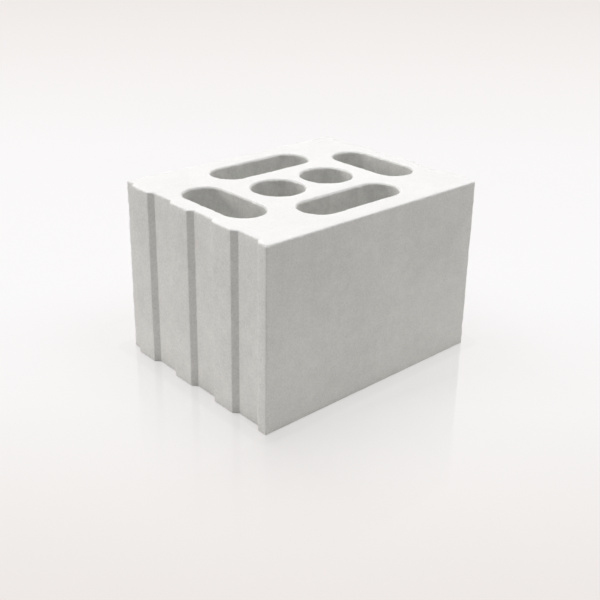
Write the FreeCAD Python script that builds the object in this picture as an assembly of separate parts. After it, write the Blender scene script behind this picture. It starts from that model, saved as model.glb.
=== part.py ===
import FreeCAD, Part
import math
import os

# Calcium silicate block for walls, pressed in one piece. All lengths are in millimetres.
# X runs along the wall, Y through its thickness and Z up.
# The origin is at the middle of the underside.

# Spacing of the blocks in a wall, and the joints left between them
module_length = 300.0
module_height = 200.0
end_joint = 2.0
bed_joint = 2.0

# Thickness of the wall
block_width = 240.0

# Tongues and grooves down both ends
tongue_pitch = 70.0
tongue_height = 5.0
flank_run = 6.0
least_corner_land = 8.0

# Walls and webs between the cores, measured at the top
side_wall = 25.0
end_wall = 16.0
side_web = 20.0
end_web = 20.5
grip_web = 12.0

# Slot cores, open at the top and closed by the bed. The draft is in degrees.
long_slot_length = 130.0
short_slot_length = 110.0
bed_thickness = 18.0
slot_draft = 0.5
slot_floor_chamfer = 5.0

# Round grip holes that go right through
grip_diameter = 58.0

# Softened edges
corner_radius = 1.0
flank_radius = 1.5
arris_chamfer = 1.0
mouth_chamfer = 1.5

# Outer sizes that follow from the wall
face_length = module_length - end_joint
block_height = module_height - bed_joint
overall_length = face_length + tongue_height
near_end = -overall_length / 2
half_width = block_width / 2


def near_end_corners():
    """Corners of the near end seen from above, from the front face to the rear one.

    The land at the front corner is a tongue and the one at the rear corner is a groove, so the wave
    is its own negative when the block is turned round, and both ends of every block fit each other.
    """
    half_pitch = tongue_pitch / 2
    room = half_width - least_corner_land - flank_run / 2
    steps = int(room // half_pitch)
    tongue_plane = near_end
    groove_plane = near_end + tongue_height
    here, after = tongue_plane, groove_plane
    corners = [(here, -half_width)]
    for step in range(-steps, steps + 1):
        middle = step * half_pitch
        corners.append((here, middle - flank_run / 2))
        corners.append((after, middle + flank_run / 2))
        here, after = after, here
    corners.append((here, half_width))
    return corners


def upright_edges(solid, at_corner):
    """Vertical edges of the prism: the four outer corners, or all the others."""
    chosen = []
    for edge in solid.Edges:
        start, end = edge.Vertexes[0].Point, edge.Vertexes[-1].Point
        upright = abs(start.x - end.x) < 1e-6 and abs(start.y - end.y) < 1e-6
        outer = abs(abs(start.y) - half_width) < 1e-6
        if upright and outer == at_corner:
            chosen.append(edge)
    return chosen


def outer_prism():
    """The block without its cores. The far end repeats the near end's wave one face length along."""
    near = near_end_corners()
    far = [(x + face_length, y) for x, y in near]
    outline = [FreeCAD.Vector(x, y, 0) for x, y in near + far[::-1]]
    plan = Part.Face(Part.makePolygon(outline + outline[:1]))
    prism = plan.extrude(FreeCAD.Vector(0, 0, block_height))
    prism = prism.makeFillet(flank_radius, upright_edges(prism, at_corner=False))
    return prism.makeFillet(corner_radius, upright_edges(prism, at_corner=True))


def slot_core(length, width):
    """Round-ended core along X, centred on the origin, that narrows from the mouth to its floor."""
    depth = block_height - bed_thickness
    mouth_half = width / 2
    floor_half = mouth_half - depth * math.tan(math.radians(slot_draft))
    straight_half = length / 2 - mouth_half
    section = Part.makePolygon([
        FreeCAD.Vector(-straight_half, -floor_half, bed_thickness),
        FreeCAD.Vector(-straight_half, floor_half, bed_thickness),
        FreeCAD.Vector(-straight_half, mouth_half, block_height),
        FreeCAD.Vector(-straight_half, -mouth_half, block_height),
        FreeCAD.Vector(-straight_half, -floor_half, bed_thickness),
    ])
    core = Part.Face(section).extrude(FreeCAD.Vector(2 * straight_half, 0, 0))
    up = FreeCAD.Vector(0, 0, 1)
    for side in (-1, 1):
        foot = FreeCAD.Vector(side * straight_half, 0, bed_thickness)
        end = Part.makeCone(floor_half, mouth_half, depth, foot, up, 180)
        end.rotate(foot, up, -90 * side)
        core = core.fuse(end)
    core = core.removeSplitter()
    floor_edges = [e for e in core.Edges if e.BoundBox.ZMax < bed_thickness + 1e-6]
    return core.makeChamfer(min(slot_floor_chamfer, 0.8 * floor_half), floor_edges)


def placed(core, x, y, turn=0.0):
    """A copy of a core turned about Z and moved to its place."""
    copy = core.copy()
    copy.rotate(FreeCAD.Vector(0, 0, 0), FreeCAD.Vector(0, 0, 1), turn)
    copy.translate(FreeCAD.Vector(x, y, 0))
    return copy


def all_cores():
    """The two long slots, the two short slots and the two grip holes between them."""
    grip_radius = grip_diameter / 2
    grip_x = grip_web / 2 + grip_radius

    long_inner = grip_radius + side_web
    long_outer = half_width - side_wall
    long_slot = slot_core(long_slot_length, long_outer - long_inner)
    long_y = (long_inner + long_outer) / 2

    short_inner = grip_x + grip_radius + end_web
    short_outer = overall_length / 2 - tongue_height - end_wall
    short_slot = slot_core(short_slot_length, short_outer - short_inner)
    short_x = (short_inner + short_outer) / 2

    grip = Part.makeCylinder(grip_radius, block_height)
    cores = []
    for side in (-1, 1):
        cores.append(placed(long_slot, 0, side * long_y))
        cores.append(placed(short_slot, side * short_x, 0, turn=90))
        cores.append(placed(grip, side * grip_x, 0))
    return cores


def edges_of_face(solid, height):
    """Edges of the flat face at this height: its outline, and the rims of the holes in it."""
    for face in solid.Faces:
        box = face.BoundBox
        if box.ZLength < 1e-6 and abs(box.ZMin - height) < 1e-6 and box.YLength > half_width:
            outline = face.OuterWire.Edges
            rims = [e for wire in face.Wires if not wire.isSame(face.OuterWire) for e in wire.Edges]
            return outline, rims
    raise ValueError("the block has no flat face at this height")


def block():
    """The whole block with every edge slightly softened, as the press leaves it."""
    solid = outer_prism()
    for core in all_cores():
        solid = solid.cut(core)
    for height in (0.0, block_height):
        outline, rims = edges_of_face(solid, height)
        solid = solid.makeChamfer(arris_chamfer, outline)
        outline, rims = edges_of_face(solid, height)
        solid = solid.makeChamfer(mouth_chamfer, rims)
    return solid


os.makedirs("parts", exist_ok=True)
shape = block()
shape.exportStep("parts/block.step")
print("valid", shape.isValid(), "solids", len(shape.Solids), "faces", len(shape.Faces))
print("volume in litres", round(shape.Volume / 1e6, 4), "box", shape.BoundBox)
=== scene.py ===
import math
import random
from collections import namedtuple

import bpy
from mathutils import Matrix, Vector, kdtree, noise
from mathutils.geometry import delaunay_2d_cdt


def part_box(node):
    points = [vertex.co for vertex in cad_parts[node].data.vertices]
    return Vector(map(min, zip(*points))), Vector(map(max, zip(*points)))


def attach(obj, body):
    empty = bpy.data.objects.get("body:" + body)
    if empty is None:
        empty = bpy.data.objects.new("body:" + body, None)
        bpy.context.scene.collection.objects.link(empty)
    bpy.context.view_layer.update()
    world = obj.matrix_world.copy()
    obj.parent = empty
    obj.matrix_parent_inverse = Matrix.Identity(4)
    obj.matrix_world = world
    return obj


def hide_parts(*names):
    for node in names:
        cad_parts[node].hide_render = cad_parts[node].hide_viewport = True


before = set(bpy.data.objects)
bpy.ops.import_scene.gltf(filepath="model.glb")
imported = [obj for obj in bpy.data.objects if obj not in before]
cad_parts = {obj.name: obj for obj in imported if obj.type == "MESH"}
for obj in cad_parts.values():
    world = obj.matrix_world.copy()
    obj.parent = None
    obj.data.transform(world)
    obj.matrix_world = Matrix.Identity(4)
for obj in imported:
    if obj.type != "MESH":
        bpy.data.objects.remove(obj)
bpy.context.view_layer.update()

# A calcium silicate block for walls, pressed in one piece, on a pale polished studio floor.
# All lengths are in metres. X runs along the wall, Y through its thickness and Z up.

# Outer sizes, from the frame
low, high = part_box("block")
near_end = low.x
overall_length = high.x - low.x
half_width = high.y
block_height = high.z

# Tongues and grooves down both ends
tongue_pitch = 0.070
tongue_height = 0.005
flank_run = 0.006
least_corner_land = 0.008
corner_radius = 0.001
flank_radius = 0.001

# Walls and webs between the cores, measured at the top
side_wall = 0.025
end_wall = 0.016
side_web = 0.020
end_web = 0.0205
grip_web = 0.012

# Slot cores, open at the top and closed by the bed, and the grip holes that go right through
long_slot_length = 0.130
short_slot_length = 0.110
bed_thickness = 0.018
slot_draft = math.radians(0.5)
slot_floor_chamfer = 0.005
grip_diameter = 0.058

# A round-ended hole seen from above: its centre, and its sizes along X and Y
Hole = namedtuple("Hole", "x y length width")

# Softened edges: how far they reach along the flat face and down the wall, and how much they wear
Edge = namedtuple("Edge", "width drop wear")
arris = Edge(width=0.0009, drop=0.0009, wear=1.0)
underside_arris = Edge(width=0.0009, drop=0.0009, wear=0.3)
mouth = Edge(width=0.0014, drop=0.0018, wear=0.45)
underside_mouth = Edge(width=0.0014, drop=0.0018, wear=0.3)
# How round they are, between a plain chamfer (0) and an arc (1), and how many strips cross them
edge_roundness = 0.2
edge_steps = 4
# How far the colour of the cores' walls reaches out over their softened mouths
core_margin = mouth.width / 3

# Wear of the edges: how far from an edge it reaches, then for each kind of bump how deep it goes, how
# long it is, and what is added to its noise so that it covers more than half of the edge
wear_reach = 0.0026
fine_wear = 0.00055
fine_bump = 0.0035
fine_cover = 0.35
middle_wear = 0.00110
middle_bump = 0.010
middle_cover = 0.1
broad_wear = 0.00060
broad_bump = 0.032
# Length of the finest bumps, which lie over the fine ones, and their height against them
finest_bump = 0.0016
finest_share = 0.5
# Wear of an upright edge that turns by half a circle. A blunter one wears in proportion to its turn.
upright_wear = 1.4

# Small chips out of the upper rims
chip_count = 80
chip_radius = (0.0020, 0.0055)
chip_depth = (0.0003, 0.0011)

# Net of the mesh: distances between its points round the outline and holes, down the walls and over
# the flat faces
outline_step = 0.0015
hole_step = 0.0018
outer_wall_step = 0.004
hole_wall_step = 0.010
face_step = 0.0026
underside_step = 0.004
slot_floor_step = 0.006
# Extra rows of points at these distances from the top and bottom of a wall keep it flat up to there
close_rows = (0.0010, 0.0025)
# How far the points on a flat face stray from even rows, and their least distance from its rims, both
# as a share of the step
stray = 0.15
least_gap = 0.7

# Ways that a flat face can look
faces_up = 1
faces_down = -1

# Corners of a square seen from above, anticlockwise
square = [(-1, -1), (1, -1), (1, 1), (-1, 1)]

# One seeded source of chance, so that every run gives the same block
draws = random.Random(41)


def rounded_columns(corners, step):
    """Places and outward directions round a closed outline of (x, y, radius) corners, anticlockwise.

    The second list holds the middle of each corner that points outwards, and how far the corner turns.
    """
    arcs = []
    for index, (x, y, radius) in enumerate(corners):
        here = Vector((x, y))
        into = (here - Vector(corners[index - 1][:2])).normalized()
        onward = (Vector(corners[(index + 1) % len(corners)][:2]) - here).normalized()
        turn = math.atan2(into.x * onward.y - into.y * onward.x, into.dot(onward))
        reach = radius * math.tan(abs(turn) / 2)
        arcs.append((here - into * reach, here + onward * reach, into, turn, radius))
    columns = []
    noses = []
    for index, (start, end, into, turn, radius) in enumerate(arcs):
        side = math.copysign(1, turn)
        out = Vector((into.y, -into.x))
        centre = start - out * radius * side
        # An even number of parts, so that one column is at the middle of the corner
        parts = 2 * max(1, round(radius * abs(turn) / step / 2))
        for part in range(parts + 1):
            air = out.copy()
            air.rotate(Matrix.Rotation(turn * part / parts, 2))
            columns.append((centre + air * radius * side, air))
        if side > 0:
            noses.append((*columns[-1 - parts // 2], turn))
        run = arcs[(index + 1) % len(arcs)][0] - end
        parts = round(run.length / step)
        if parts < 1:
            columns.pop()
        columns += [(end + run * part / parts, air) for part in range(1, parts)]
    return columns, noses


def end_wave(tongue_plane):
    """Corners of one end seen from above, from the front face to the rear one."""
    half_pitch = tongue_pitch / 2
    room = half_width - least_corner_land - flank_run / 2
    steps = int(room // half_pitch)
    here = tongue_plane
    after = tongue_plane + tongue_height
    corners = [(here, -half_width, corner_radius)]
    for step in range(-steps, steps + 1):
        middle = step * half_pitch
        corners.append((here, middle - flank_run / 2, flank_radius))
        corners.append((after, middle + flank_run / 2, flank_radius))
        here, after = after, here
    corners.append((here, half_width, corner_radius))
    return corners


def hole_columns(hole):
    """The outline of a round-ended hole, clockwise, with the air towards its middle."""
    radius = min(hole.length, hole.width) / 2
    corners = [(hole.x + i * hole.length / 2, hole.y + j * hole.width / 2, radius) for i, j in square]
    columns, _ = rounded_columns(corners, hole_step)
    return [(place, -out) for place, out in reversed(columns)]


def in_hole(x, y, hole, margin=0.0):
    """Whether a spot seen from above is inside a hole and clear of its wall by the margin."""
    radius = min(hole.length, hole.width) / 2
    along_x = max(abs(x - hole.x) - (hole.length / 2 - radius), 0)
    along_y = max(abs(y - hole.y) - (hole.width / 2 - radius), 0)
    return math.hypot(along_x, along_y) < radius - margin


def clear_of(holes):
    """A test for spots on a flat face that are clear of the rims of its holes."""
    return lambda x, y: not any(in_hole(x, y, hole, -mouth.width) for hole in holes)


def all_holes():
    """The four slots and the two grip holes."""
    grip_radius = grip_diameter / 2
    grip_x = grip_web / 2 + grip_radius
    long_inner = grip_radius + side_web
    long_outer = half_width - side_wall
    short_inner = grip_x + grip_radius + end_web
    short_outer = overall_length / 2 - tongue_height - end_wall
    slots = []
    grips = []
    for side in (-1, 1):
        long_y = side * (long_inner + long_outer) / 2
        short_x = side * (short_inner + short_outer) / 2
        slots.append(Hole(0, long_y, long_slot_length, long_outer - long_inner))
        slots.append(Hole(short_x, 0, short_outer - short_inner, short_slot_length))
        grips.append(Hole(side * grip_x, 0, grip_diameter, grip_diameter))
    return slots, grips


def search_tree(points):
    """A tree that finds the points near a spot."""
    tree = kdtree.KDTree(len(points))
    for index, point in enumerate(points):
        tree.insert(point, index)
    tree.balance()
    return tree


def scattered(rim, step, allowed):
    """Rows of spots in the box round a rim, slightly uneven, and clear of all the rim's points."""
    tree = search_tree([point.to_3d() for point in rim])
    least_x, most_x = min(p.x for p in rim), max(p.x for p in rim)
    least_y, most_y = min(p.y for p in rim), max(p.y for p in rim)
    # Three neighbouring spots make a triangle with equal sides
    rise = step * math.sqrt(0.75)
    spots = []
    for row in range(int((most_y - least_y) / rise)):
        for column in range(int((most_x - least_x) / step)):
            x = least_x + (column + 0.5 + 0.5 * (row % 2) + draws.uniform(-stray, stray)) * step
            y = least_y + (row + 0.5 + draws.uniform(-stray, stray)) * rise
            if allowed(x, y) and tree.find((x, y, 0))[2] > least_gap * step:
                spots.append(Vector((x, y)))
    return spots


def softened(share):
    """How far a softened edge is in from its wall and down from its flat face, from 0 to 1 each.

    The share says where: 0 is its line on the flat face, and 1 its line on the wall.
    """
    angle = math.pi / 2 * share
    inset = (1 - share) * (1 - edge_roundness) + (1 - math.sin(angle)) * edge_roundness
    drop = share * (1 - edge_roundness) + (1 - math.cos(angle)) * edge_roundness
    return inset, drop


def edge_rows(edge, height, facing):
    """Insets and heights across a softened edge, from the flat face to the wall."""
    rows = []
    for step in range(edge_steps + 1):
        inset, drop = softened(step / edge_steps)
        rows.append((inset * edge.width, height - facing * drop * edge.drop))
    return rows


class Net:
    """Points and faces of the block while it is built, and where its edges run."""

    def __init__(self):
        self.points = []
        self.faces = []
        self.edges = []
        self.upper_rims = []

    def ring(self, columns, inset, height):
        """A ring of points, moved from the wall line into the block by the inset."""
        first = len(self.points)
        self.points += [(place - air * inset).to_3d() + Vector((0, 0, height)) for place, air in columns]
        return list(range(first, len(self.points)))

    def wall(self, columns, rows):
        """Joins rings of points from the top row to the bottom one, and returns the two end rings."""
        rings = [self.ring(columns, inset, height) for inset, height in rows]
        for upper, lower in zip(rings, rings[1:]):
            for here in range(len(columns)):
                after = (here + 1) % len(columns)
                self.faces.append((upper[here], lower[here], lower[after], upper[after]))
        return rings[0], rings[-1]

    def cap(self, rim, hole_rims, step, facing, allowed):
        """Fills the flat face between its outer rim and the rims of its holes with triangles.

        Triangles whose corners all belong to one hole's rim lie inside that hole and are left out.
        """
        height = self.points[rim[0]].z
        known = []
        owners = []
        links = []
        for number, ring in enumerate([rim] + hole_rims):
            first = len(known)
            links += [(first + i, first + (i + 1) % len(ring)) for i in range(len(ring))]
            known += ring
            owners += [number] * len(ring)
        flat = [self.points[index].to_2d() for index in known]
        spots = scattered(flat, step, allowed)
        known += [None] * len(spots)
        owners += [0] * len(spots)
        inside_only = 1
        same_spot = 1e-7
        _, _, triangles, origins, _, _ = delaunay_2d_cdt(flat + spots, links, [], inside_only, same_spot)
        for triangle in triangles:
            corners = [origins[index][0] for index in triangle]
            held_by = {owners[corner] for corner in corners}
            if len(held_by) == 1 and held_by != {0}:
                continue
            for corner in corners:
                if known[corner] is None:
                    known[corner] = len(self.points)
                    self.points.append(spots[corner - len(flat)].to_3d() + Vector((0, 0, height)))
            face = [known[corner] for corner in corners]
            self.faces.append(tuple(face if facing == faces_up else face[::-1]))

    def note_rim(self, columns, edge, height, facing):
        """Remembers where a softened rim runs and which way it wears."""
        inset, drop = softened(0.5)
        middle = Vector((0, 0, height - facing * drop * edge.drop))
        for place, air in columns:
            point = (place - air * inset * edge.width).to_3d() + middle
            inward = Vector((-air.x, -air.y, -facing)).normalized()
            self.edges.append((point, inward, edge.wear))
            if facing == faces_up:
                self.upper_rims.append((point, inward))

    def note_upright(self, nose):
        """Remembers an upright edge, which slid along the mould and wears less, and a blunt one least."""
        place, air, turn = nose
        wear = upright_wear * turn / math.pi
        for part in range(1, int(block_height / outline_step)):
            point = place.to_3d() + Vector((0, 0, part * outline_step))
            self.edges.append((point, -air.to_3d(), wear))


def wall_rows(upper, lower, step, lean=0.0):
    """Insets and heights down a wall between two heights, closer together near its ends."""
    top = upper - close_rows[-1]
    bottom = lower + close_rows[-1]
    parts = math.ceil((top - bottom) / step)
    heights = [upper - gap for gap in close_rows]
    heights += [top + (bottom - top) * part / parts for part in range(1, parts)]
    heights += [lower + gap for gap in reversed(close_rows)]
    return [(-lean * (upper - height), height) for height in heights]


def outer_wall(net):
    """The four sides of the block with the softened top and bottom edges."""
    face_length = overall_length - tongue_height
    near = end_wave(near_end)
    far = end_wave(near_end + face_length)
    columns, noses = rounded_columns(far + near[::-1], outline_step)
    rows = edge_rows(arris, block_height, faces_up)
    rows += wall_rows(block_height - arris.drop, underside_arris.drop, outer_wall_step)
    rows += edge_rows(underside_arris, 0, faces_down)[::-1]
    net.note_rim(columns, arris, block_height, faces_up)
    net.note_rim(columns, underside_arris, 0, faces_down)
    for nose in noses:
        net.note_upright(nose)
    return net.wall(columns, rows)


def grip_hole(net, hole):
    """A hole right through, softened at both mouths."""
    columns = hole_columns(hole)
    rows = edge_rows(mouth, block_height, faces_up)
    rows += wall_rows(block_height - mouth.drop, underside_mouth.drop, hole_wall_step)
    rows += edge_rows(underside_mouth, 0, faces_down)[::-1]
    net.note_rim(columns, mouth, block_height, faces_up)
    net.note_rim(columns, underside_mouth, 0, faces_down)
    return net.wall(columns, rows)


def blind_slot(net, hole):
    """A slot that narrows downwards and ends in a chamfered floor. Returns the ring at its mouth."""
    columns = hole_columns(hole)
    lean = math.tan(slot_draft)
    upper = block_height - mouth.drop
    foot = bed_thickness + slot_floor_chamfer
    narrowing = lean * (upper - foot)
    rows = edge_rows(mouth, block_height, faces_up)
    rows += wall_rows(upper, foot, hole_wall_step, lean)
    rows.append((-narrowing, foot))
    rows.append((-narrowing - slot_floor_chamfer / 2, foot - slot_floor_chamfer / 2))
    rows.append((-narrowing - slot_floor_chamfer, bed_thickness))
    net.note_rim(columns, mouth, block_height, faces_up)
    mouth_rim, floor_rim = net.wall(columns, rows)
    margin = narrowing + slot_floor_chamfer
    net.cap(floor_rim, [], slot_floor_step, faces_up, lambda x, y: in_hole(x, y, hole, margin))
    return mouth_rim


def unevenness(spot):
    """How deep an edge is worn at a spot: fine crumbling over slower changes."""
    fine = noise.noise(spot / fine_bump) + finest_share * noise.noise(spot / finest_bump)
    middle = noise.noise(spot / middle_bump)
    broad = noise.noise(spot / broad_bump)
    depth = fine_wear * max(0, fine_cover + fine)
    depth += middle_wear * max(0, middle_cover + middle)
    return depth + broad_wear * max(0, broad)


def wear_edges(net):
    """Wears the softened edges unevenly.

    Returns how close each point is to one of the four upright corners, from 0 to 1.
    """
    closeness = [0.0] * len(net.points)
    tree = search_tree([point for point, _, _ in net.edges])
    for number, point in enumerate(net.points):
        spot, index, gap = tree.find(point)
        if gap < wear_reach:
            _, inward, wear = net.edges[index]
            nearness = (1 - (gap / wear_reach) ** 2) ** 2
            point += inward * (wear * unevenness(spot) * nearness)
            upright = inward.z == 0
            at_corner = abs(spot.y) > half_width - corner_radius
            if upright and at_corner:
                closeness[number] = 1 - gap / wear_reach
    return closeness


def chip_rims(net):
    """Takes small chips out of the upper rims, each as if cut by a ball from outside."""
    tree = search_tree(net.points)
    for _ in range(chip_count):
        point, inward = draws.choice(net.upper_rims)
        radius = draws.uniform(*chip_radius)
        depth = draws.uniform(*chip_depth)
        centre = point - inward * (radius - depth)
        for _, index, _ in tree.find_range(centre, radius):
            away = net.points[index] - centre
            if 0 < away.length < radius:
                net.points[index] = centre + away.normalized() * radius
                net.points[index].z = min(net.points[index].z, block_height)


def add_values(mesh, name, values):
    """Stores one number a point, for the material."""
    mesh.attributes.new(name, "FLOAT", "POINT").data.foreach_set("value", values)


def block_piece():
    """The whole block as one closed mesh."""
    net = Net()
    slots, grips = all_holes()
    top_rim, bottom_rim = outer_wall(net)
    slot_mouths = [blind_slot(net, hole) for hole in slots]
    grip_rims = [grip_hole(net, hole) for hole in grips]
    top_rims = slot_mouths + [upper for upper, _ in grip_rims]
    bottom_rims = [lower for _, lower in grip_rims]
    net.cap(top_rim, top_rims, face_step, faces_up, clear_of(slots + grips))
    net.cap(bottom_rim, bottom_rims, underside_step, faces_down, clear_of(grips))
    in_core = [
        any(in_hole(x, y, hole, -core_margin) for hole in slots + grips)
        for x, y, _ in net.points
    ]
    by_corner = wear_edges(net)
    chip_rims(net)
    mesh = bpy.data.meshes.new("pressed_block")
    mesh.from_pydata([tuple(point) for point in net.points], [], net.faces)
    mesh.validate()
    add_values(mesh, "in_core", in_core)
    add_values(mesh, "by_corner", by_corner)
    mesh.polygons.foreach_set("use_smooth", [True] * len(mesh.polygons))
    piece = bpy.data.objects.new("pressed_block", mesh)
    bpy.context.scene.collection.objects.link(piece)
    piece.modifiers.new("keep_flat_faces_flat", "WEIGHTED_NORMAL")
    return piece


class Nodes:
    """Short calls that add nodes to a material or world."""

    def __init__(self, tree):
        self.tree = tree
        tree.nodes.clear()

    def add(self, kind, settings=None, **inputs):
        """Adds a node with its settings. Its inputs, by name or as i and a number, are set or linked."""
        node = self.tree.nodes.new(kind)
        for name, value in (settings or {}).items():
            setattr(node, name, value)
        for name, value in inputs.items():
            key = int(name[1:]) if name[1:].isdigit() else name
            if isinstance(value, bpy.types.NodeSocket):
                self.tree.links.new(value, node.inputs[key])
            else:
                node.inputs[key].default_value = value
        return node

    def output(self, kind, settings=None, **inputs):
        """Adds a node and returns its first output."""
        return self.add(kind, settings, **inputs).outputs[0]

    def math(self, operation, first, second=0.0, third=0.0, clamp=False):
        """The outcome of a calculation with numbers."""
        settings = {"operation": operation, "use_clamp": clamp}
        return self.output("ShaderNodeMath", settings, i0=first, i1=second, i2=third)

    def between(self, share, start, end):
        """The start where the share is 0, the end where it is 1, and in proportion between them."""
        return self.math("MULTIPLY_ADD", share, end - start, start)

    def vector(self, operation, first, second=(0, 0, 0), third=(0, 0, 0)):
        """The vector that a calculation with vectors gives."""
        settings = {"operation": operation}
        return self.output("ShaderNodeVectorMath", settings, i0=first, i1=second, i2=third)

    def scaled(self, vector, factor):
        """A vector or colour times a number."""
        return self.output("ShaderNodeVectorMath", {"operation": "SCALE"}, i0=vector, Scale=factor)

    def measure(self, operation, first, second=(0, 0, 0)):
        """The number that a calculation with vectors gives, such as a length."""
        node = self.add("ShaderNodeVectorMath", {"operation": operation}, i0=first, i1=second)
        return node.outputs["Value"]

    def parts(self, vector):
        """The X, Y and Z of a vector."""
        return self.add("ShaderNodeSeparateXYZ", Vector=vector).outputs

    def pattern(self, place, scale, detail, roughness):
        """A cloudy pattern with values on both sides of 0."""
        cloudy = self.output("ShaderNodeTexNoise", Vector=place, Scale=scale, Detail=detail,
                             Roughness=roughness)
        return self.math("SUBTRACT", cloudy, 0.5)

    def ramp(self, value, low, high):
        """0 below low, 1 above high and a smooth step between."""
        settings = {"interpolation_type": "SMOOTHSTEP"}
        return self.output("ShaderNodeMapRange", settings, i0=value, i1=low, i2=high)

    def stepped(self, value, stops):
        """A colour that follows a value through (value, colour) stops."""
        first = stops[0][0]
        last = stops[-1][0]
        share = self.output("ShaderNodeMapRange", i0=value, i1=first, i2=last)
        node = self.add("ShaderNodeValToRGB", Fac=share)
        elements = node.color_ramp.elements
        while len(elements) < len(stops):
            elements.new(1.0)
        for element, (at, colour) in zip(elements, stops):
            element.position = (at - first) / (last - first)
            element.color = (*colour, 1)
        return node.outputs["Color"]

    def mix(self, share, first, second):
        """The first shader where the share is 0, and the second where it is 1."""
        return self.output("ShaderNodeMixShader", i0=share, i1=first, i2=second)

    def together(self, first, second):
        """Two shaders, added up."""
        return self.output("ShaderNodeAddShader", i0=first, i1=second)


def new_material(name):
    """An empty material and the calls that add nodes to it."""
    material = bpy.data.materials.new(name)
    material.use_nodes = True
    return material, Nodes(material.node_tree)


# Linear colour of the block's stuff, and of the same stuff on the walls of the cores
lime_colour = (0.81, 0.79, 0.765)
core_colour = (0.804, 0.793, 0.760)

# Patterns in it: bumps a metre, levels of finer detail, and their roughness
cloud_pattern = (12, 1, 0.5)
mottle_pattern = (50, 4, 0.9)
grain_pattern = (450, 2, 0.8)
blotch_pattern = (70, 4, 0.6)
streak_pattern = (170, 3, 0.6)
# The streaks are drawn out down the sides by this scale of their places
streak_scale = (1, 1, 0.05)

# How strongly its shade changes with each pattern
cloud_contrast = 0.15
mottle_contrast = 0.31
grain_contrast = 0.38
streak_contrast = 0.03
blotch_contrast = 0.45
pore_contrast = 0.12
# Share of the clouds, mottle and grain that is left on faces that look straight up or down
top_contrast = 0.45
# How much lighter the upright corners are
rubbed_edge = 0.12
# Painted contact shadow along the foot: a dark line, how much darker it is, and how high it reaches
painted_foot_shadow = 0.5
foot_height = 0.0014

# Pores: cells a metre, the band of chance values above which a cell holds one, and their least and
# greatest size as a share of a cell
pore_cells = 150
pore_chance = (0.86, 0.88)
pore_size = (0.05, 0.15)

# Unevenness of the surface, in millimetres
grain_relief = 0.09
blotch_relief = 0.16
streak_relief = 0.06
pore_relief = 0.5
millimetre = 0.001

stone_specular = 0.25
stone_roughness = 0.88


def pore_pattern(nodes, place):
    """Small pores, scattered singly: 1 at the middle of each, falling to 0 at its rim."""
    cells = nodes.add("ShaderNodeTexVoronoi", Vector=place, Scale=pore_cells)
    chance = nodes.add("ShaderNodeSeparateColor", Color=cells.outputs["Color"])
    is_pore = nodes.ramp(chance.outputs["Red"], *pore_chance)
    size = nodes.between(chance.outputs["Green"], *pore_size)
    off_middle = nodes.math("DIVIDE", cells.outputs["Distance"], size)
    depth = nodes.math("SUBTRACT", 1.0, off_middle, clamp=True)
    return nodes.math("MULTIPLY", is_pore, depth)


def calcium_silicate():
    """Fine sand bound with lime: almost white, faintly mottled, with press streaks down the sides, and a
    painted contact shadow along the foot.
    """
    material, nodes = new_material("calcium_silicate")
    place = nodes.add("ShaderNodeTexCoord").outputs["Object"]
    along_press = nodes.output("ShaderNodeMapping", Vector=place, Scale=streak_scale)
    normal = nodes.add("ShaderNodeNewGeometry").outputs["Normal"]
    side = nodes.math("SUBTRACT", 1.0, nodes.math("ABSOLUTE", nodes.parts(normal)["Z"]), clamp=True)
    in_core = nodes.add("ShaderNodeAttribute", {"attribute_name": "in_core"}).outputs["Fac"]
    by_corner = nodes.add("ShaderNodeAttribute", {"attribute_name": "by_corner"}).outputs["Fac"]

    clouds = nodes.pattern(place, *cloud_pattern)
    mottle = nodes.pattern(place, *mottle_pattern)
    grains = nodes.pattern(place, *grain_pattern)
    blotches = nodes.pattern(place, *blotch_pattern)
    streaks = nodes.math("MULTIPLY", nodes.pattern(along_press, *streak_pattern), side)
    pores = pore_pattern(nodes, place)

    variety = nodes.math("MULTIPLY", clouds, cloud_contrast)
    variety = nodes.math("MULTIPLY_ADD", mottle, mottle_contrast, variety)
    variety = nodes.math("MULTIPLY_ADD", grains, grain_contrast, variety)
    amount = nodes.between(side, top_contrast, 1)
    tone = nodes.math("MULTIPLY_ADD", variety, amount, 1.0)
    tone = nodes.math("MULTIPLY_ADD", streaks, streak_contrast, tone)
    core_blotches = nodes.math("MULTIPLY", blotches, in_core)
    tone = nodes.math("MULTIPLY_ADD", core_blotches, blotch_contrast, tone)
    tone = nodes.math("MULTIPLY_ADD", by_corner, rubbed_edge, tone)
    # Painted contact shadow: the tone darkens towards the foot
    off_foot = nodes.ramp(nodes.parts(place)["Z"], 0.0, foot_height)
    tone = nodes.math("MULTIPLY", tone, nodes.between(off_foot, 1 - painted_foot_shadow, 1))
    tone = nodes.math("MULTIPLY", tone, nodes.between(pores, 1, 1 - pore_contrast))

    towards_core = [core - lime for core, lime in zip(core_colour, lime_colour)]
    stuff = nodes.vector("MULTIPLY_ADD", in_core, towards_core, lime_colour)
    colour = nodes.scaled(stuff, tone)

    relief = nodes.math("MULTIPLY", blotches, blotch_relief)
    relief = nodes.math("MULTIPLY_ADD", grains, grain_relief, relief)
    relief = nodes.math("MULTIPLY_ADD", streaks, streak_relief, relief)
    relief = nodes.math("MULTIPLY_ADD", pores, -pore_relief, relief)
    uneven = nodes.output("ShaderNodeBump", Distance=millimetre, Height=relief)

    shader = nodes.add("ShaderNodeBsdfPrincipled", Roughness=stone_roughness, Normal=uneven)
    shader.inputs["Specular IOR Level"].default_value = stone_specular
    nodes.tree.links.new(colour, shader.inputs["Base Color"])
    nodes.add("ShaderNodeOutputMaterial", Surface=shader.outputs[0])
    return material


# Camera at the photograph's viewing angle, with the lens in millimetres for a sensor 36 mm wide
camera_place = Vector((-0.63962, -0.70314, 0.50331))
camera_heading = math.radians(42.173)
camera_tilt = math.radians(21.110)
camera_roll = math.radians(1.001)
camera_lens = 55.205
camera_shift_up = -0.11

ground_heading = Vector((math.sin(camera_heading), math.cos(camera_heading), 0))


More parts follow.
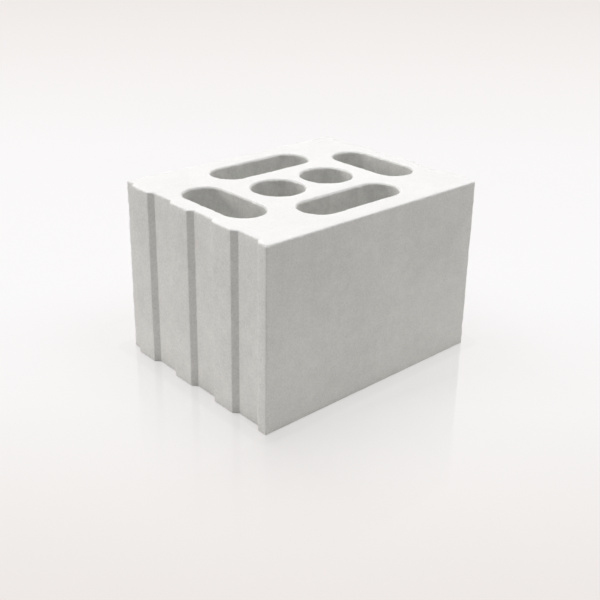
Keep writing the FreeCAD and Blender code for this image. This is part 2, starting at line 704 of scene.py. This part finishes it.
def add_camera():
    """A camera that looks along its heading, tilted down and slightly rolled."""
    forward = ground_heading * math.cos(camera_tilt) - Vector((0, 0, math.sin(camera_tilt)))
    level = Vector((math.cos(camera_heading), -math.sin(camera_heading), 0))
    upright = level.cross(forward)
    right = level * math.cos(camera_roll) + upright * math.sin(camera_roll)
    upward = right.cross(forward)
    data = bpy.data.cameras.new("camera")
    data.lens = camera_lens
    data.shift_y = camera_shift_up
    camera = bpy.data.objects.new("camera", data)
    turned = Matrix((right, upward, -forward)).transposed().to_4x4()
    camera.matrix_world = Matrix.Translation(camera_place) @ turned
    bpy.context.scene.collection.objects.link(camera)
    bpy.context.scene.camera = camera


# Studio light: square soft boxes, all aimed at the middle of the block, and a weak even light
SoftBox = namedtuple("SoftBox", "name place size colour power")
overhead_box = SoftBox("overhead_box", (0.06, 0.08, 2.10), 2.6, (0.96, 0.975, 1.0), 66.4)
left_box = SoftBox("left_box", (-2.30, 2.45, 0.72), 1.44, (1.0, 0.99, 0.965), 45.2)
right_box = SoftBox("right_box", (1.30, -1.50, 0.36), 0.68, (1.0, 0.99, 0.94), 6.6)
aim = Vector((0, 0, block_height / 2))
ambient_colour = (1, 0.995, 0.985, 1)
ambient_strength = 0.01

# Studio floor. Seen straight or in a mirror it has the tones further down. To the light that lands on
# things it is a plain matt surface, with a weak glow painted round the block.
floor_half_size = 6.0
bounce_colour = (0.50, 0.50, 0.483, 1)
backdrop_colour = (0.868, 0.832, 0.812, 1)
# Distances from the block over which the floor passes into the backdrop
horizon_reach = (3.8, 5.8)
# Share of the lamps' light that the floor takes, and the distances from the block between which it
# stops doing so, because a lamp would leave a bright pool on the floor in front of it
lit_share = 0.14
lit_reach = (0.9, 1.8)
# Mirror at the block's foot: its strength, and how far out it fades, off the long faces and off the ends
mirror_strength = (6.4, 4.5)
mirror_reach = (0.24, 0.155)
mirror_ior = 1.33
mirror_limit = 0.27
mirror_roughness = 0.03
mirror_colour = (1, 1, 1, 1)
# Painted contact shadow: darker floor where the block stands, and the distances between which it ends
painted_contact_shadow = 0.045
contact_reach = (0.010, 0.018)
# Painted shadow under the block, seen through the grip holes: the tone left on the floor there, and how
# far inside the outline it starts
painted_shadow_under_block = 0.2
covered_reach = (-0.020, -0.008)
# Painted glow of the floor round the block, which lights things as though the pale floor sent back more
# light. It starts at these distances from the outline, and fades over these distances from the block's
# middle.
pool_glow = 0.22
pool_colour = (1, 1, 0.965, 1)
pool_start = (-0.001, 0.006)
pool_reach = (0.15, 0.75)

# Tone of the floor along the camera's heading, from the middle of the block
floor_tones = [
    (-0.42, (0.849, 0.806, 0.780)),
    (-0.27, (0.887, 0.859, 0.843)),
    (-0.14, (0.927, 0.911, 0.903)),
    (0.00, (0.936, 0.921, 0.917)),
    (0.12, (0.954, 0.939, 0.938)),
    (0.80, (0.955, 0.937, 0.935)),
    (1.15, (0.939, 0.919, 0.910)),
    (1.85, (0.906, 0.877, 0.865)),
    (3.25, (0.865, 0.825, 0.804)),
]
# How much of its tone the floor gets from the lamps, by distance from the spot under the overhead box
lamp_share = [
    (0.2, 0.147),
    (0.7, 0.14),
    (1.0, 0.13),
    (1.5, 0.097),
    (2.0, 0.07),
    (2.9, 0.034),
    (4.2, 0.009),
]


def in_sight(nodes):
    """1 for what is seen, straight or in a mirror, and 0 for light that lands on things."""
    path = nodes.add("ShaderNodeLightPath")
    seen = nodes.math("MAXIMUM", path.outputs["Is Camera Ray"], path.outputs["Is Glossy Ray"])
    return nodes.math("MAXIMUM", seen, path.outputs["Is Transmission Ray"])


def floor_glow(nodes, place, takes_light, shade):
    """The floor's own tone, less what it gets from the lamps, and darkened by the painted shadows round
    and under the block.
    """
    under_box = (*overhead_box.place[:2], 0)
    lamp_stops = [(at, (share, share, share)) for at, share in lamp_share]
    tone = nodes.stepped(nodes.measure("DOT_PRODUCT", place, ground_heading), floor_tones)
    lit = nodes.stepped(nodes.measure("DISTANCE", place, under_box), lamp_stops)
    own = nodes.vector("SUBTRACT", tone, nodes.scaled(lit, takes_light))
    return nodes.output("ShaderNodeEmission", Color=own, Strength=shade)


def floor_polish(nodes, outside, gap):
    """How much of a mirror the floor is: most at the block's foot, and less off its ends."""
    across = nodes.parts(outside)
    off_end = nodes.math("DIVIDE", across["X"], nodes.math("ADD", across["X"], across["Y"]))
    strength = nodes.between(off_end, *mirror_strength)
    reach = nodes.between(off_end, *mirror_reach)
    fade = nodes.math("SUBTRACT", 1.0, nodes.math("DIVIDE", gap, reach), clamp=True)
    fresnel = nodes.output("ShaderNodeFresnel", IOR=mirror_ior)
    gloss = nodes.math("MULTIPLY", fresnel, strength)
    polish = nodes.math("MULTIPLY", gloss, nodes.math("POWER", fade, 2.0))
    return nodes.math("MINIMUM", polish, mirror_limit)


def floor_bounce_and_painted_glow(nodes, from_block, past_outline):
    """What the floor gives to the light that lands on things: a matt bounce and a painted glow round the
    block.
    """
    pool = nodes.between(nodes.ramp(from_block, *pool_reach), pool_glow, 0)
    pool = nodes.math("MULTIPLY", pool, nodes.ramp(past_outline, *pool_start))
    # Painted glow: the floor gives off light round the block, as though it sent back more
    painted_glow_light = nodes.output("ShaderNodeEmission", Color=pool_colour, Strength=pool)
    bounce = nodes.output("ShaderNodeBsdfDiffuse", Color=bounce_colour)
    return nodes.together(bounce, painted_glow_light)


def floor_material():
    """A pale and evenly toned floor, with a weak mirror and painted shadows near the block, and a painted
    glow round it for the light that lands on things.
    """
    material, nodes = new_material("studio_floor")
    place = nodes.add("ShaderNodeNewGeometry").outputs["Position"]
    from_block = nodes.measure("LENGTH", place)
    apart = nodes.vector("SUBTRACT", nodes.vector("ABSOLUTE", place), (high.x, high.y, 0))
    across = nodes.parts(apart)
    past_outline = nodes.math("MAXIMUM", across["X"], across["Y"])
    outside = nodes.vector("MAXIMUM", apart, (0, 0, 0))
    gap = nodes.measure("LENGTH", outside)

    # Painted contact shadow on the floor round the block's foot
    unshaded = nodes.between(nodes.ramp(gap, *contact_reach), 1 - painted_contact_shadow, 1)
    # Painted shadow on the floor under the block
    uncovered = nodes.between(nodes.ramp(past_outline, *covered_reach), painted_shadow_under_block, 1)
    shade = nodes.math("MULTIPLY", unshaded, uncovered)
    takes_light = nodes.math("SUBTRACT", 1.0, nodes.ramp(from_block, *lit_reach))
    glow = floor_glow(nodes, place, takes_light, shade)
    taken = nodes.math("MULTIPLY", takes_light, lit_share)
    matt = nodes.output("ShaderNodeBsdfDiffuse", Color=taken)
    mirror = nodes.output("ShaderNodeBsdfGlossy", Color=mirror_colour, Roughness=mirror_roughness)
    polished = nodes.mix(floor_polish(nodes, outside, gap), nodes.together(glow, matt), mirror)
    distant = nodes.output("ShaderNodeEmission", Color=backdrop_colour)
    seen = nodes.mix(nodes.ramp(from_block, *horizon_reach), polished, distant)
    surface = nodes.mix(in_sight(nodes), floor_bounce_and_painted_glow(nodes, from_block, past_outline), seen)
    nodes.add("ShaderNodeOutputMaterial", Surface=surface)
    return material


def add_floor():
    """A wide level floor under the block, which is not part of it."""
    mesh = bpy.data.meshes.new("studio_floor")
    corners = [(x * floor_half_size, y * floor_half_size, 0) for x, y in square]
    mesh.from_pydata(corners, [], [(0, 1, 2, 3)])
    mesh.materials.append(floor_material())
    floor = bpy.data.objects.new("studio_floor", mesh)
    bpy.context.scene.collection.objects.link(floor)


def add_lamps():
    """The soft boxes, which are seen neither straight nor in a mirror."""
    for box in (overhead_box, left_box, right_box):
        data = bpy.data.lights.new(box.name, "AREA")
        data.shape = "SQUARE"
        data.size = box.size
        data.color = box.colour
        data.energy = box.power
        lamp = bpy.data.objects.new(box.name, data)
        lamp.location = box.place
        lamp.rotation_euler = (aim - Vector(box.place)).to_track_quat("-Z", "Y").to_euler()
        lamp.visible_camera = False
        lamp.visible_glossy = False
        bpy.context.scene.collection.objects.link(lamp)


def add_backdrop():
    """A weak even light from all sides, and the backdrop's colour for the camera."""
    world = bpy.data.worlds.new("studio")
    world.use_nodes = True
    nodes = Nodes(world.node_tree)
    ambient = nodes.output("ShaderNodeBackground", Color=ambient_colour, Strength=ambient_strength)
    backdrop = nodes.output("ShaderNodeBackground", Color=backdrop_colour)
    surface = nodes.mix(in_sight(nodes), ambient, backdrop)
    nodes.add("ShaderNodeOutputWorld", Surface=surface)
    bpy.context.scene.world = world


block = block_piece()
block.data.materials.append(calcium_silicate())
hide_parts("block")
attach(block, "root")

add_camera()
add_floor()
add_lamps()
add_backdrop()
bpy.context.scene.view_settings.view_transform = "Standard"
